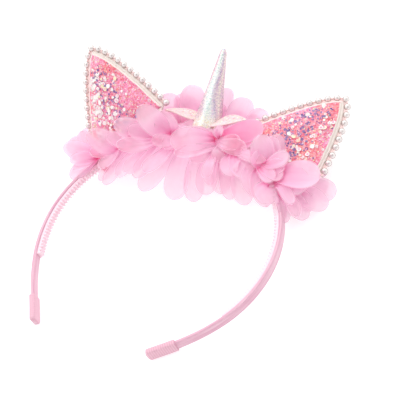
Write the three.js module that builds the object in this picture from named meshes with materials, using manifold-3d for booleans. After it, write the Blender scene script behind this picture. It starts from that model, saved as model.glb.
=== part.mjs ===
// Unicorn horn headband: a ribbon-wrapped band that carries two glitter ears edged with
// pearls, a padded horn with two leaves, and a gathered trim of chiffon petals.
// Millimetres, +Z up. It lies on its back: the side that faces forward when it is worn is
// turned up, the crown is towards +Y and the two tips towards -Y.

import * as THREE from 'three';
import { mergeVertices } from 'three/addons/utils/BufferGeometryUtils.js';
import Module from 'manifold-3d';

const wasm = await Module();
wasm.setup();

// Band
const HALF_ARC = 160; // from the crown to a tip, along the middle of the strip
const BAND_WIDTH = 5.4; // front to back
const BAND_THICKNESS = 1.9;
const BAND_CORNER = 0.55;
const BAND_STEPS = 18; // straight stretches on each side of the crown
const CROWN_BEND = 2.41; // radians that the strip turns by, as powers of the share of HALF_ARC
const SHOULDER_BEND = 1.12;
const TIP_BEND = -1.67;
const LEFT_CURL = 0.3;
const RIGHT_CURL = 0.58;

// How it lies
const CROWN_HEIGHT = 8; // the surface to the middle of the strip at the crown
const SEAT_GAP = 0.3; // between pieces that rest on each other
const FIT_GAP = 0.2; // between pieces that are glued or slid together

// Ribbed ribbon caps on the tips
const CAP_LENGTH = 14;
const CAP_WALL = 0.9;
const CAP_PROUD = 0.6; // how far a cap stands out of the wrapped strip all round
const CAP_STEPS = 3;
const CAP_CORNER = 0.8;

// Grip strip
const COMB_END = 37.5; // from its end to the tip, along the strip
const COMB_WIDTH = 4;
const COMB_BASE = 0.9;
const RIB_HEIGHT = 1.3;
const RIB_PITCH = 1.8;

// Ears, measured on the line of the pearls
const EAR_HEIGHT = 54.6; // from the strip to the apex
const EAR_HALF_BASE = 28.7;
const EAR_POWER = 0.666; // half width grows with this power of the distance from the apex
const EAR_DEPTH = 1.05; // share of EAR_HEIGHT that the outline is drawn down to
const EAR_FOOT_HALF = 10; // half width of the backing where it stands on the strip
const PEARL_DIAMETER = 3;
const PEARL_PITCH = 4.4;
const PEARL_SIDES = 9;
const PEARLS_A_SIDE = 12;
const THREAD_DIAMETER = 1;
const BACK_THICKNESS = 1.6;
const BACK_FRONT = 0.6; // how far the backing reaches before the plane of the pearls
const FACE_INSET = 1.2; // from the backing's edge to the edge of the glitter face
const FACE_THICKNESS = 1;
const FACE_PUFF = 1.3; // extra thickness away from the edge
const FACE_SLOPE = 3; // width of the sloping margin

// Horn and leaves
const HORN_HEIGHT = 45.5;
const HORN_RADIUS = 7.2;
const HORN_TIP_RADIUS = 1.4;
const HORN_SIDES = 12;
const CREASE_DEPTH = 0.09; // share of the radius
const CREASES = 3;
const LEAF_LENGTH = 19;
const LEAF_WIDTH = 9;
const LEAF_THICKNESS = 1.2;

// Petal trim
const TRIM_HALF = 64; // from the crown to either end, along the strip
const TRIM_STEPS = 16;
const GATHER_RADIUS = 2.7; // the bunched roots, front to back
const GATHER_BULGE = 1.3; // their height over their depth
const PETAL_LENGTH = 28;
const PETAL_WIDTH = 13.5;
const PETAL_THICKNESS = 1;
const FRONT_ARCH = 0.12; // share of a petal's length that its middle rises by
const BACK_ARCH = 0.03;
const PETAL_CUP = 0.06; // share of a petal's width that its edges rise by

const DEG = Math.PI / 180;
const FACING = new THREE.Vector3(0.3, -0.25, 0.92); // where the petals' faces are turned

// Places on the strip. An arc is a length along it from the crown, positive to the right.

function turnAt(arc) {
  const share = Math.abs(arc) / HALF_ARC;
  const curl = arc < 0 ? LEFT_CURL : RIGHT_CURL;
  const bend = CROWN_BEND * share + SHOULDER_BEND * share ** 3 + TIP_BEND * share ** 5;
  return -Math.sign(arc) * (bend + curl * share ** 4);
}

function middleAt(arc) {
  const steps = Math.ceil(Math.abs(arc)) + 1;
  const point = new THREE.Vector3();
  for (let i = 0; i < steps; i += 1) {
    const turn = turnAt((arc * (i + 0.5)) / steps);
    point.x += (Math.cos(turn) * arc) / steps;
    point.y += (Math.sin(turn) * arc) / steps;
  }
  return point;
}

// X runs along the strip to the right, Y out of the hoop and Z to the front.
function stationAt(arc) {
  const station = new THREE.Matrix4().makeRotationZ(turnAt(arc));
  return station.setPosition(middleAt(arc));
}

function placeAt(arc, out, front) {
  return new THREE.Vector3(0, out, front).applyMatrix4(stationAt(arc));
}

// Solids

function reversed(index) {
  for (let i = 0; i < index.length; i += 3) {
    [index[i], index[i + 1]] = [index[i + 1], index[i]];
  }
  return index;
}

function volumeOf(points, index) {
  let sum = 0;
  for (let i = 0; i < index.length; i += 3) {
    const [a, b, c] = [points[index[i]], points[index[i + 1]], points[index[i + 2]]];
    sum += a.dot(b.clone().cross(c)) / 6;
  }
  return sum;
}

// A closed body through rings of as many points each. Its ends are closed by strips
// between the first and the last points of a ring.
function loft(rings) {
  const count = rings[0].length;
  const points = rings.flat();
  const index = [];
  for (let ring = 0; ring + 1 < rings.length; ring += 1) {
    for (let i = 0; i < count; i += 1) {
      const a = ring * count + i;
      const b = ring * count + ((i + 1) % count);
      index.push(a, b, b + count, a, b + count, a + count);
    }
  }
  const last = (rings.length - 1) * count;
  for (let i = 0; i < count / 2 - 1; i += 1) {
    const [a, b, c, d] = [i, i + 1, count - 2 - i, count - 1 - i];
    index.push(a, d, c, last + a, last + c, last + d);
    if (b < c) index.push(a, c, b, last + a, last + b, last + c);
  }
  if (volumeOf(points, index) < 0) reversed(index);
  const geometry = new THREE.BufferGeometry().setFromPoints(points);
  geometry.setIndex(index);
  return geometry;
}

function solidOf(geometry) {
  const bare = geometry.clone();
  bare.deleteAttribute('normal');
  bare.deleteAttribute('uv');
  const merged = mergeVertices(bare, 1e-4);
  const mesh = new wasm.Mesh({
    numProp: 3,
    vertProperties: Float32Array.from(merged.attributes.position.array),
    triVerts: Uint32Array.from(merged.index.array),
  });
  return new wasm.Manifold(mesh);
}

function geometryOf(solid) {
  const { vertProperties, triVerts } = solid.getMesh();
  const geometry = new THREE.BufferGeometry();
  geometry.setAttribute('position', new THREE.BufferAttribute(vertProperties, 3));
  geometry.setIndex(new THREE.BufferAttribute(triVerts, 1));
  return geometry;
}

function joined(geometries) {
  return geometries.map(solidOf).reduce((sum, solid) => sum.add(solid));
}

function piece(name, geometry, color, roughness, metalness = 0) {
  const bare = geometry.index ? geometry.toNonIndexed() : geometry;
  bare.computeVertexNormals();
  const material = new THREE.MeshStandardMaterial({ color, roughness, metalness });
  const mesh = new THREE.Mesh(bare, material);
  mesh.name = name;
  return mesh;
}

// A rectangle with cut corners round the strip's middle line
function sectionAt(arc, width, thickness, corner) {
  const [halfOut, halfFront] = [thickness / 2, width / 2];
  const corners = [
    [halfOut, halfFront - corner],
    [halfOut - corner, halfFront],
    [corner - halfOut, halfFront],
    [-halfOut, halfFront - corner],
    [-halfOut, corner - halfFront],
    [corner - halfOut, -halfFront],
    [halfOut - corner, -halfFront],
    [halfOut, corner - halfFront],
  ];
  return corners.map(([out, front]) => placeAt(arc, out, front));
}

function arcsBetween(from, to, steps) {
  return Array.from({ length: steps + 1 }, (_, i) => from + ((to - from) * i) / steps);
}

// Band with a bare tongue of its core inside each cap
const CAP_START = HALF_ARC - CAP_LENGTH;
const TONGUE_WIDTH = BAND_WIDTH + 2 * (CAP_PROUD - CAP_WALL - FIT_GAP);
const TONGUE_THICKNESS = BAND_THICKNESS + 2 * (CAP_PROUD - CAP_WALL - FIT_GAP);
const TONGUE_END = HALF_ARC - CAP_WALL - FIT_GAP;
const TONGUE_CORNER = 0.2;

function band() {
  const whole = CAP_START - FIT_GAP;
  const tongue = (arc) => sectionAt(arc, TONGUE_WIDTH, TONGUE_THICKNESS, TONGUE_CORNER);
  const wrapped = (arc) => sectionAt(arc, BAND_WIDTH, BAND_THICKNESS, BAND_CORNER);
  const inCap = arcsBetween(whole, TONGUE_END, CAP_STEPS);
  return loft([
    ...inCap.map((arc) => tongue(-arc)).reverse(),
    ...arcsBetween(-whole, whole, 2 * BAND_STEPS).map(wrapped),
    ...inCap.map(tongue),
  ]);
}

// Sleeve with a closed outer end
function cap(side) {
  const width = BAND_WIDTH + 2 * CAP_PROUD;
  const thickness = BAND_THICKNESS + 2 * CAP_PROUD;
  const rings = (from, to, wide, thick, corner) =>
    arcsBetween(from, to, CAP_STEPS).map((arc) => sectionAt(side * arc, wide, thick, corner));
  const outer = solidOf(loft(rings(CAP_START, HALF_ARC, width, thickness, CAP_CORNER)));
  const inner = rings(
    CAP_START - CAP_WALL,
    TONGUE_END + FIT_GAP,
    TONGUE_WIDTH + 2 * FIT_GAP,
    TONGUE_THICKNESS + 2 * FIT_GAP,
    TONGUE_CORNER,
  );
  return geometryOf(outer.subtract(solidOf(loft(inner))));
}

// Strip with a rib across it at every pitch
function comb() {
  const end = HALF_ARC - COMB_END;
  const outer = -BAND_THICKNESS / 2 - FIT_GAP;
  const valley = outer - COMB_BASE;
  const ribs = Math.round((2 * end) / RIB_PITCH);
  const along = arcsBetween(-end, end, 2 * ribs);
  const inside = along.map((arc, i) => placeAt(arc, i % 2 ? valley - RIB_HEIGHT : valley, 0));
  const outside = arcsBetween(end, -end, 2 * BAND_STEPS).map((arc) => placeAt(arc, outer, 0));
  const outline = [...inside, ...outside].map(({ x, y }) => new THREE.Vector2(x, y));
  const shape = new THREE.Shape(outline);
  const geometry = new THREE.ExtrudeGeometry(shape, { depth: COMB_WIDTH, bevelEnabled: false });
  return geometry.translate(0, 0, -COMB_WIDTH / 2);
}

// Ears. Each stands in a frame of its own on the strip: X to the right, Y to the apex and
// Z out of its face. Angles are in degrees and shift is a share of EAR_HALF_BASE.
const EARS = {
  left: { arc: -0.284 * HALF_ARC, tilt: 7.5, lean: 30, twist: -24, shift: 0.115 },
  right: { arc: 0.3 * HALF_ARC, tilt: 21, lean: 0, twist: 12, shift: -0.41 },
};

function earFrame({ arc, tilt, lean, twist, shift }) {
  const turn = new THREE.Euler(lean * DEG, twist * DEG, tilt * DEG, 'ZXY');
  const frame = new THREE.Matrix4().makeRotationFromEuler(turn);
  frame.premultiply(new THREE.Matrix4().makeTranslation(0, BAND_THICKNESS / 2, 0));
  frame.premultiply(stationAt(arc));
  return frame.multiply(new THREE.Matrix4().makeTranslation(shift * EAR_HALF_BASE, 0, 0));
}

const EAR_SAMPLES = 400;

// Points down one side of the ear from its apex, a pitch apart along the line
function earSide(pitch, count) {
  const points = [new THREE.Vector2(0, EAR_HEIGHT)];
  let previous = points[0].clone();
  let run = 0;
  for (let i = 1; i <= EAR_SAMPLES && points.length < count; i += 1) {
    const drop = EAR_DEPTH * (i / EAR_SAMPLES) ** 1.6;
    const half = EAR_HALF_BASE * drop ** EAR_POWER;
    const next = new THREE.Vector2(half, EAR_HEIGHT * (1 - drop));
    run += next.distanceTo(previous);
    if (run >= pitch * points.length) points.push(next.clone());
    previous = next;
  }
  return points;
}

// Both sides as one line from the left foot over the apex to the right foot
function earLine(pitch, count) {
  const right = earSide(pitch, count);
  const left = right.slice(1).map(({ x, y }) => new THREE.Vector2(-x, y));
  return [...left.reverse(), ...right];
}

// The line moved inwards
function insetLine(line, inset) {
  return line.map((point, i) => {
    const before = line[Math.max(i - 1, 0)];
    const after = line[Math.min(i + 1, line.length - 1)];
    const along = after.clone().sub(before).normalize();
    return new THREE.Vector2(point.x + along.y * inset, point.y - along.x * inset);
  });
}

// What stands on the strip is cut to follow its outer face.
const FOOT_DEPTH = 14;
function footCutter(gap) {
  const arcs = arcsBetween(-HALF_ARC / 2, HALF_ARC / 2, 2 * BAND_STEPS);
  const out = BAND_THICKNESS / 2 + gap;
  const reach = EAR_HEIGHT;
  return solidOf(loft(arcs.map((arc) => [
    placeAt(arc, out, reach),
    placeAt(arc, -FOOT_DEPTH, reach),
    placeAt(arc, -FOOT_DEPTH, -reach),
    placeAt(arc, out, -reach),
  ])));
}

const EAR_POINTS = 10;
function earOutline(inset) {
  const pitch = (PEARL_PITCH * PEARLS_A_SIDE) / (EAR_POINTS - 1);
  return insetLine(earLine(pitch, EAR_POINTS), inset);
}

// The backing narrows to a foot on the strip; room is what it grows by on every side.
function earBack(ear, room = 0) {
  const outline = earOutline(PEARL_DIAMETER / 2 + FIT_GAP - room);
  const half = EAR_FOOT_HALF + room;
  const foot = [half, -half].map((x) => new THREE.Vector2(x, -BAND_THICKNESS));
  const shape = new THREE.Shape([...outline, ...foot]);
  const depth = BACK_THICKNESS + 2 * room;
  const panel = new THREE.ExtrudeGeometry(shape, { depth, bevelEnabled: false });
  panel.translate(0, 0, BACK_FRONT + room - depth).applyMatrix4(earFrame(ear));
  return geometryOf(solidOf(panel).subtract(footCutter(SEAT_GAP - room)));
}

// Rings of the padded face: inset and height are in mm from its edge and from the backing
const FACE_RINGS = [
  { inset: 0, height: 0 },
  { inset: 0, height: FACE_THICKNESS },
  { inset: FACE_SLOPE / 3, height: FACE_THICKNESS + 0.65 * FACE_PUFF },
  { inset: FACE_SLOPE, height: FACE_THICKNESS + FACE_PUFF },
];

function earFace(ear) {
  const edge = PEARL_DIAMETER / 2 + FIT_GAP + FACE_INSET;
  const frame = earFrame(ear);
  const panel = loft(FACE_RINGS.map(({ inset, height }) =>
    earOutline(edge + inset).map(({ x, y }) =>
      new THREE.Vector3(x, y, BACK_FRONT + FIT_GAP + height).applyMatrix4(frame))));
  return geometryOf(solidOf(panel).subtract(footCutter(SEAT_GAP)));
}

// Beads on a thread: each bead is four rings about its own axis
const BEAD_RINGS = [-70, -22, 22, 70];
function pearls(ear) {
  const line = earLine(PEARL_PITCH, PEARLS_A_SIDE + 1);
  const frame = earFrame(ear);
  const radius = PEARL_DIAMETER / 2;
  const rings = line.flatMap((centre, i) => {
    const before = line[Math.max(i - 1, 0)];
    const after = line[Math.min(i + 1, line.length - 1)];
    const along = after.clone().sub(before).normalize();
    return BEAD_RINGS.map((angle) => {
      const step = radius * Math.sin(angle * DEG);
      const size = Math.max(radius * Math.cos(angle * DEG), THREAD_DIAMETER / 2);
      return Array.from({ length: PEARL_SIDES }, (_, side) => {
        const around = (2 * Math.PI * side) / PEARL_SIDES;
        const across = size * Math.cos(around);
        return new THREE.Vector3(
          centre.x + along.x * step - along.y * across,
          centre.y + along.y * step + along.x * across,
          size * Math.sin(around),
        ).applyMatrix4(frame);
      });
    });
  });
  return loft(rings);
}

// Horn, in a frame of its own on the strip like an ear's
const HORN = { arc: -0.038 * HALF_ARC, tilt: 1, lean: 24, twist: 0, shift: 0 };
// Rings: height is a share of HORN_HEIGHT, size a share of the plain cone's radius
const HORN_RINGS = [
  { height: -0.1, size: 0.85 },
  { height: 0.12, size: 1 },
  { height: 0.35, size: 1.01 },
  { height: 0.6, size: 1.01 },
  { height: 0.82, size: 1.01 },
  { height: 0.95, size: 1 },
  { height: 0.985, size: 0.72 },
  { height: 1, size: 0.3 },
];

function hornRadius(height) {
  return HORN_RADIUS + (HORN_TIP_RADIUS - HORN_RADIUS) * height;
}

function horn(swell, seat) {
  const frame = earFrame(HORN);
  const cone = loft(HORN_RINGS.map(({ height, size }) =>
    Array.from({ length: HORN_SIDES }, (_, side) => {
      const around = (2 * Math.PI * side) / HORN_SIDES;
      const crease = 1 - CREASE_DEPTH * (0.5 + 0.5 * Math.cos(CREASES * around));
      const radius = hornRadius(height) * size * crease + swell;
      return new THREE.Vector3(
        radius * Math.cos(around),
        height * HORN_HEIGHT,
        radius * Math.sin(around),
      ).applyMatrix4(frame);
    })));
  return geometryOf(solidOf(cone).subtract(footCutter(seat)));
}

// Blade: a thin curved body along an aim, with its upper side turned to the front
// Rings: along is a share of the length, half a share of the half width
const PETAL_RINGS = [
  { along: 0, half: 0.2 },
  { along: 0.5, half: 0.95 },
  { along: 0.85, half: 0.9 },
  { along: 1, half: 0.4 },
];
const LEAF_RINGS = [
  { along: 0, half: 0.6 },
  { along: 0.25, half: 1 },
  { along: 0.6, half: 0.8 },
  { along: 1, half: 0.2 },
];

function blade(rings, { root, aim, face, length, width, thickness, arch, cup, floor }) {
  const ahead = aim.clone().normalize();
  const up = FACING.clone().addScaledVector(ahead, -FACING.dot(ahead)).normalize();
  up.applyAxisAngle(ahead, face * DEG);
  const side = ahead.clone().cross(up);
  return loft(rings.map(({ along, half }) => {
    const rise = arch * length * Math.sin(Math.PI * along);
    const point = (across, lift) => {
      const edge = cup * width * half * across ** 2;
      const place = root.clone().addScaledVector(ahead, along * length);
      place.addScaledVector(side, (across * half * width) / 2);
      place.addScaledVector(up, rise + edge + lift * thickness);
      const bottom = floor === undefined ? -Infinity : floor(place) + (lift + 0.5) * thickness;
      place.z = Math.max(place.z, bottom);
      return place;
    };
    return [-1, 0, 1].map((across) => point(across, 0.5))
      .concat([1, 0, -1].map((across) => point(across, -0.5)));
  }));
}

// Height is a share of HORN_HEIGHT; around is in degrees from the right towards the front;
// the aim is in the horn's frame.
const LEAVES = {
  left: { height: 0.2, around: 180, aim: [-1, 0.02, 0.1] },
  right: { height: 0.13, around: 40, aim: [0.9, 0.4, 0.05] },
};

function leaf({ height, around, aim }, swell = 0) {
  const frame = earFrame(HORN);
  const reach = hornRadius(height) + SEAT_GAP;
  const root = new THREE.Vector3(
    reach * Math.cos(around * DEG),
    height * HORN_HEIGHT,
    reach * Math.sin(around * DEG),
  );
  return blade(LEAF_RINGS, {
    root: root.applyMatrix4(frame),
    aim: new THREE.Vector3(...aim).transformDirection(frame),
    face: 0,
    length: LEAF_LENGTH + swell,
    width: LEAF_WIDTH + 2 * swell,
    thickness: LEAF_THICKNESS + 2 * swell,
    arch: 0.05,
    cup: 0.1,
  });
}

// Petals. at is a share of TRIM_HALF; along, out and front are the aim; long and wide are
// shares of PETAL_LENGTH and PETAL_WIDTH; face is in degrees about the aim.
const COLUMNS = ['at', 'along', 'out', 'front', 'long', 'wide', 'face'];
const named = (row) => Object.fromEntries(row.map((value, i) => [COLUMNS[i], value]));
const FRONT_PETALS = [
  // Left end
  [-0.98, -0.35, 0.95, 0, 0.8, 1.3, 0],
  [-0.97, 0, 1, 0, 0.78, 1.1, 0],
  [-1, -0.6, 0.7, 0.3, 0.5, 0.9, 0],
  [-1, -0.9, -0.3, 0.2, 0.5, 1, 0],
  [-0.85, -0.5, 0.7, 0.4, 0.6, 1, 0],
  [-0.95, -0.3, -0.95, 0, 0.45, 0.8, 0],
  // Hanging into the hoop, from left to right
  [-0.78, -0.6, -0.8, -0.1, 0.8, 0.8, 0],
  [-0.69, -0.5, -0.85, -0.15, 0.7, 1, 0],
  [-0.5, -0.4, -0.9, -0.15, 0.82, 1, 0],
  [-0.34, -0.3, -0.9, -0.2, 1.12, 0.95, 0],
  [-0.25, 0.05, -0.95, -0.25, 1.25, 0.9, 0],
  [-0.1, 0.25, -0.95, -0.25, 1.25, 0.8, 0],
  [0.03, 0.35, -0.95, -0.15, 1.08, 0.85, 0],
  [0.16, 0.6, -0.8, -0.25, 1.05, 0.85, 0],
  [0.34, 0.65, -0.7, -0.3, 0.92, 0.9, 0],
  [0.53, 0.8, -0.6, -0.2, 0.65, 1, 0],
  [0.62, 0.9, -0.45, -0.05, 0.62, 0.7, 0],
  [0.2, 0.8, -0.55, 0.3, 0.75, 0.9, 0],
  // Along the middle
  [-0.44, -0.9, -0.35, 0.2, 0.78, 0.65, 0],
  [-0.28, -0.6, -0.65, 0.45, 0.55, 0.65, 0],
  [0, -0.65, -0.75, 0.35, 0.76, 1, 0],
  [0, 0.95, 0.1, 0.2, 1, 0.85, 0],
  [0.02, 0.95, -0.25, 0.25, 0.97, 0.8, 0],
  [0.5, -0.15, 0.6, 0.8, 0.5, 1, 0],
  [0.56, 0, 0.85, 0.55, 0.6, 0.9, 0],
  [0.55, 0.55, 0.65, 0.5, 0.63, 0.85, 0],
  [0.3, 0.95, -0.1, 0.35, 0.77, 0.7, 0],
  [0.48, 0.95, 0.05, 0.3, 0.8, 0.8, 0],
  // Raised towards the left ear and the horn
  [-0.56, -0.7, 0.4, 0.6, 0.56, 1, 0],
  [-0.45, -0.3, 0.65, 0.7, 0.6, 1.2, 0],
  [-0.33, -0.4, 0.45, 0.75, 0.42, 0.9, 0],
  // Right end
  [0.72, 0.5, 0.85, 0.15, 0.82, 1.35, 0],
  [0.87, 0.45, 0.85, -0.2, 0.8, 1.2, 0],
  [0.9, 0.6, 0.6, -0.5, 0.55, 1, 0],
  [0.81, 0.95, 0.35, -0.05, 0.63, 0.8, 0],
  [0.72, 1, -0.1, 0.05, 0.92, 0.75, 0],
].map(named);
const BACK_PETALS = [
  [-0.95, -0.3, 0.95, 0, 0.9, 1, 0],
  [-0.78, -0.2, 1, 0, 0.9, 1, 0],
  [-0.6, -0.1, 1, 0, 0.95, 1, 0],
  [-0.44, 0, 1, 0.1, 1, 0.95, 0],
  [-0.28, 0, 0.95, 0.3, 1, 0.9, 0],
  [-0.06, 0, 0.95, 0.3, 1, 0.9, 0],
  [0.06, 0, 1, 0.15, 0.95, 0.9, 0],
  [0.2, 0, 1, 0.1, 0.87, 0.9, 0],
  [0.38, 0.1, 1, -0.05, 0.85, 0.9, 0],
  [0.56, 0.1, 1, -0.1, 0.85, 0.9, 0],
  [0.85, 0, 1, -0.1, 0.85, 0.95, 0],
].map(named);

const CAP_HALF_WIDTH = BAND_WIDTH / 2 + CAP_PROUD;
const TIP_REACH = -Math.min(middleAt(-HALF_ARC).y, middleAt(HALF_ARC).y);
const TILT = Math.asin((CROWN_HEIGHT - CAP_HALF_WIDTH) / TIP_REACH);
// The surface that the headband lies on, as the height where it passes under a place
const surfaceUnder = ({ y }) => -(CROWN_HEIGHT + y * Math.sin(TILT)) / Math.cos(TILT);

// Bunched roots of the petals beside the strip, in front of it or behind
function gather(depth, floor) {
  const arcs = arcsBetween(-TRIM_HALF, TRIM_HALF, TRIM_STEPS);
  return loft(arcs.map((arc, i) => {
    const size = i === 0 || i === TRIM_STEPS ? 0.4 : 1;
    return Array.from({ length: 8 }, (_, corner) => {
      const around = ((corner + 0.5) * Math.PI) / 4;
      const out = size * GATHER_RADIUS * GATHER_BULGE * Math.cos(around);
      const place = placeAt(arc, out, depth + size * GATHER_RADIUS * Math.sin(around));
      place.z = Math.max(place.z, floor(place));
      return place;
    });
  }));
}

function petal({ at, along, out, front, long, wide, face }, depth, arch) {
  const arc = at * TRIM_HALF;
  const aim = new THREE.Vector3(along, out, front).transformDirection(stationAt(arc));
  return blade(PETAL_RINGS, {
    root: placeAt(arc, BAND_THICKNESS / 2, depth),
    aim,
    face,
    length: long * PETAL_LENGTH,
    width: wide * PETAL_WIDTH,
    thickness: PETAL_THICKNESS,
    arch,
    cup: PETAL_CUP,
    floor: surfaceUnder,
  });
}

// Room that the petals leave for what stands or lies among them
function roomForStrip() {
  const width = BAND_WIDTH + 2 * SEAT_GAP;
  const depth = BAND_THICKNESS / 2 + FIT_GAP + COMB_BASE + RIB_HEIGHT + SEAT_GAP;
  const arcs = arcsBetween(-HALF_ARC * 0.6, HALF_ARC * 0.6, 2 * BAND_STEPS);
  return loft(arcs.map((arc) => [
    placeAt(arc, BAND_THICKNESS / 2 + SEAT_GAP, width / 2),
    placeAt(arc, -depth, width / 2),
    placeAt(arc, -depth, -width / 2),
    placeAt(arc, BAND_THICKNESS / 2 + SEAT_GAP, -width / 2),
  ]));
}

function roomForEar(ear) {
  const reach = PEARL_DIAMETER / 2 + SEAT_GAP;
  const outline = earOutline(-reach);
  const feet = [outline.at(-1), outline[0]].map(({ x, y }) => new THREE.Vector2(x, y - 2 * reach));
  const shape = new THREE.Shape([...outline, ...feet]);
  const front = BACK_FRONT + FIT_GAP + FACE_THICKNESS + FACE_PUFF + SEAT_GAP;
  const depth = reach + front;
  const room = new THREE.ExtrudeGeometry(shape, { depth, bevelEnabled: false });
  room.translate(0, 0, -reach).applyMatrix4(earFrame(ear));
  return geometryOf(solidOf(room).subtract(footCutter(0)));
}

function trim(rows, side, arch) {
  const depth = side * (BAND_WIDTH / 2 + SEAT_GAP + GATHER_RADIUS);
  const petals = rows.map((row) => petal(row, depth, arch));
  const rooms = [
    roomForStrip(),
    roomForEar(EARS.left),
    roomForEar(EARS.right),
    earBack(EARS.left, SEAT_GAP),
    earBack(EARS.right, SEAT_GAP),
    horn(SEAT_GAP, 0),
    leaf(LEAVES.left, SEAT_GAP),
    leaf(LEAVES.right, SEAT_GAP),
  ];
  return geometryOf(joined([gather(depth, surfaceUnder), ...petals]).subtract(joined(rooms)));
}

// Assembly
const headband = new THREE.Group();
headband.rotation.x = TILT;
headband.position.z = CROWN_HEIGHT;

headband.add(piece('band', band(), 0xf3bccf, 0.45));
headband.add(piece('comb_strip', comb(), 0xf6e3e6, 0.35));
for (const [name, side] of [['left', -1], ['right', 1]]) {
  headband.add(piece(`cap_${name}`, cap(side), 0xf1b3ca, 0.6));
  headband.add(piece(`ear_back_${name}`, earBack(EARS[name]), 0xf3e8e0, 0.8));
  headband.add(piece(`ear_face_${name}`, earFace(EARS[name]), 0xf07fa6, 0.4));
  headband.add(piece(`pearls_${name}`, pearls(EARS[name]), 0xf4efec, 0.2));
  headband.add(piece(`leaf_${name}`, leaf(LEAVES[name]), 0xeec3c8, 0.6));
}
headband.add(piece('horn', horn(0, SEAT_GAP), 0xe6dfe6, 0.3, 0.3));
headband.add(piece('petals_front', trim(FRONT_PETALS, 1, FRONT_ARCH), 0xf7b2d2, 0.8));
headband.add(piece('petals_back', trim(BACK_PETALS, -1, BACK_ARCH), 0xf7b2d2, 0.8));

export default headband;
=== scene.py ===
import math

import bpy
import numpy as np
from mathutils import Matrix, Vector


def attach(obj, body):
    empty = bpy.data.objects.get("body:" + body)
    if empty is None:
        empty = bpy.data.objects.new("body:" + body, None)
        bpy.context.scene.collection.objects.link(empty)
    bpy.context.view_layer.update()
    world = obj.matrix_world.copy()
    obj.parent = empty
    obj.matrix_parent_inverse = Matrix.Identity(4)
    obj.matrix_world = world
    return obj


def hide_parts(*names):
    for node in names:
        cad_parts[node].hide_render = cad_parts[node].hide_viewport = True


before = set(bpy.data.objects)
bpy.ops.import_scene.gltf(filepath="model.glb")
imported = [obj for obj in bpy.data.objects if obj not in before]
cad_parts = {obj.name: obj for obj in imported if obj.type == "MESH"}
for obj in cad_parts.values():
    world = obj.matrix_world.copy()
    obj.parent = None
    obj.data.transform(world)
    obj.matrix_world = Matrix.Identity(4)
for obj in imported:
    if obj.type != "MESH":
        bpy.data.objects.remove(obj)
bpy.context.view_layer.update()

MM = 0.001
DEG = math.pi / 180

# Sizes in mm, as the solids have them
HALF_ARC = 160.0
BAND_WIDTH, BAND_THICKNESS = 5.4, 1.9
CROWN_BEND, SHOULDER_BEND, TIP_BEND = 2.41, 1.12, -1.67
LEFT_CURL, RIGHT_CURL = 0.3, 0.58
CROWN_HEIGHT = 8.0
SEAT_GAP, FIT_GAP = 0.3, 0.2
CAP_LENGTH, CAP_PROUD = 14.0, 0.6
COMB_END, COMB_WIDTH, COMB_BASE = 37.5, 4.0, 0.9
RIB_HEIGHT, RIB_PITCH = 1.3, 1.8
EAR_HEIGHT, EAR_HALF_BASE, EAR_POWER, EAR_FOOT_HALF = 54.6, 28.7, 0.666, 10.0
PEARL_DIAMETER, PEARL_PITCH, PEARLS_A_SIDE = 3.0, 4.4, 12
BACK_THICKNESS, BACK_FRONT = 1.6, 0.6
FACE_INSET, FACE_THICKNESS, FACE_PUFF = 1.2, 1.0, 1.3
HORN_HEIGHT, HORN_RADIUS, HORN_TIP_RADIUS = 45.5, 7.2, 1.4
LEAF_LENGTH, LEAF_WIDTH, LEAF_THICKNESS = 19.0, 9.0, 1.2
TRIM_HALF, GATHER_RADIUS, GATHER_BULGE = 64.0, 2.7, 1.3
FACING = np.array([0.3, -0.25, 0.92])  # where the petals' faces are turned

# Sizes in mm that only this scene has
WRAP_MARGIN = 0.1  # room on each side for the ribbon's waves and the caps' ribs
WRAP_IN_CAP = 0.6  # how far the wrapped strip goes on inside the caps
WRAP_STEP = 0.2
FOLD_AT, FOLD_SWAY, FOLD_RISE = 1.85, 0.12, 0.1  # the ribbon's edge on the inner face
CAP_RIB_PITCH, CAP_ROUND = 1.05, 1.6
CAP_RAW_EDGE = 0.72  # share of the cap's section where its ribbon starts
PEARL_LACQUER = 0.13  # stands proud of the solid's beads
THREAD_RADIUS = 0.4
FACE_RIM = 1.1
PETAL_HEM = 0.32
ROOT_DEPTH = 2.5  # how deep in the bunch a petal starts
WELD_GAP = 0.002

EARS = {
    "left": dict(arc=-0.284 * HALF_ARC, tilt=7.5, lean=30, twist=-24, shift=0.115),
    "right": dict(arc=0.3 * HALF_ARC, tilt=21, lean=0, twist=12, shift=-0.41),
}
HORN = dict(arc=-0.038 * HALF_ARC, tilt=1, lean=24, twist=0, shift=0)
LEAVES = {
    "left": dict(height=0.2, around=180, aim=(-1, 0.1, 0.1), face=-45),
    "right": dict(height=0.13, around=40, aim=(0.9, 0.24, 0.05), face=45),
}

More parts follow.
